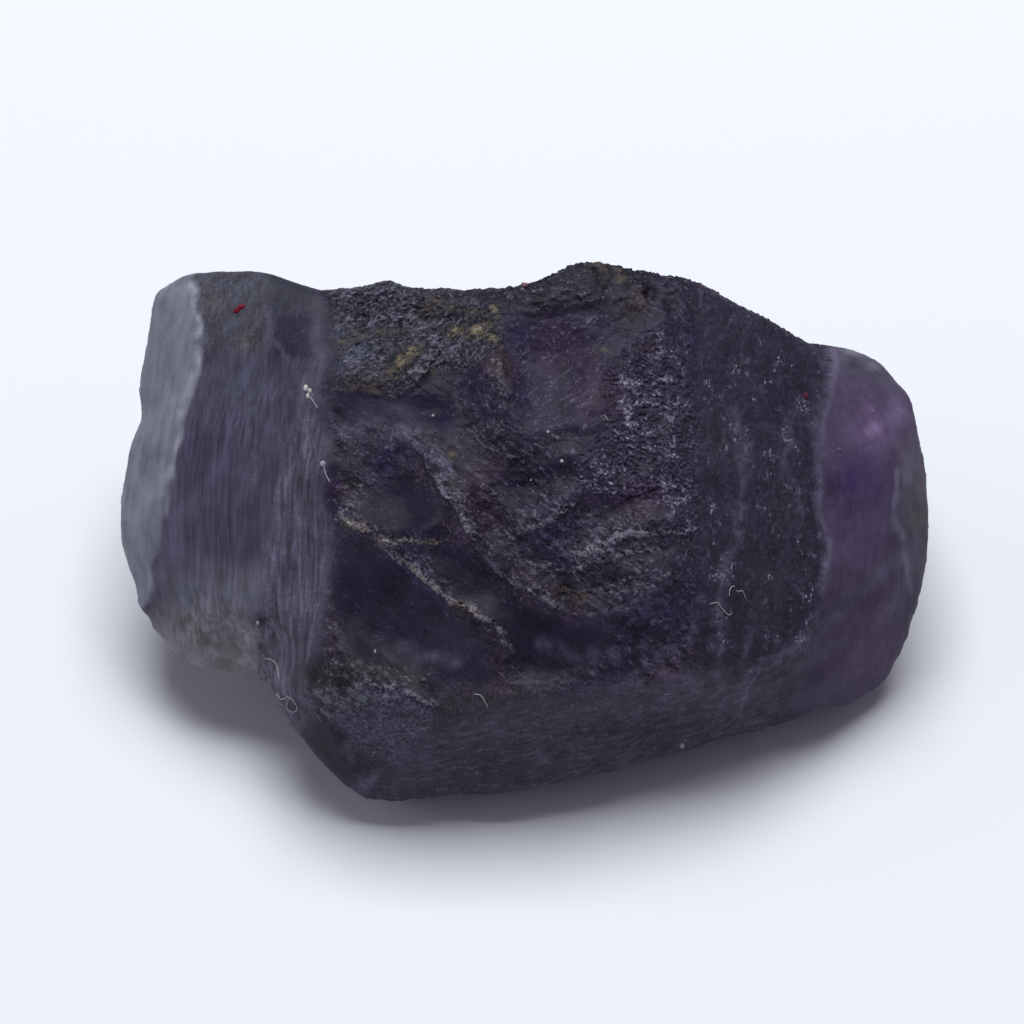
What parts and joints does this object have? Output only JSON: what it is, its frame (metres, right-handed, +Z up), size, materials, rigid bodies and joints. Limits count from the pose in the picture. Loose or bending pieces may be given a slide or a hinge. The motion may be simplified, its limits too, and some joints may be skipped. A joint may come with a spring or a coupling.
{
  "type": "rough fluorite",
  "caption": "Rough purple fluorite specimen: one solid of intergrown cleaved blocks with a shell-fractured front and a flat broken base to rest on.",
  "frame": {"origin": "middle of the stone's outline, on the plane of its flat base", "axes": "+X along the length, towards the clearer end; +Z up from the base; -Y is the broken front"},
  "size_m": [0.027, 0.0168, 0.0134],
  "materials": {
    "purple_fluorite": "translucent, frosted broken faces"
  },
  "bodies": {
    "root": {"fluorite": "purple_fluorite"}
  },
  "joints": []
}
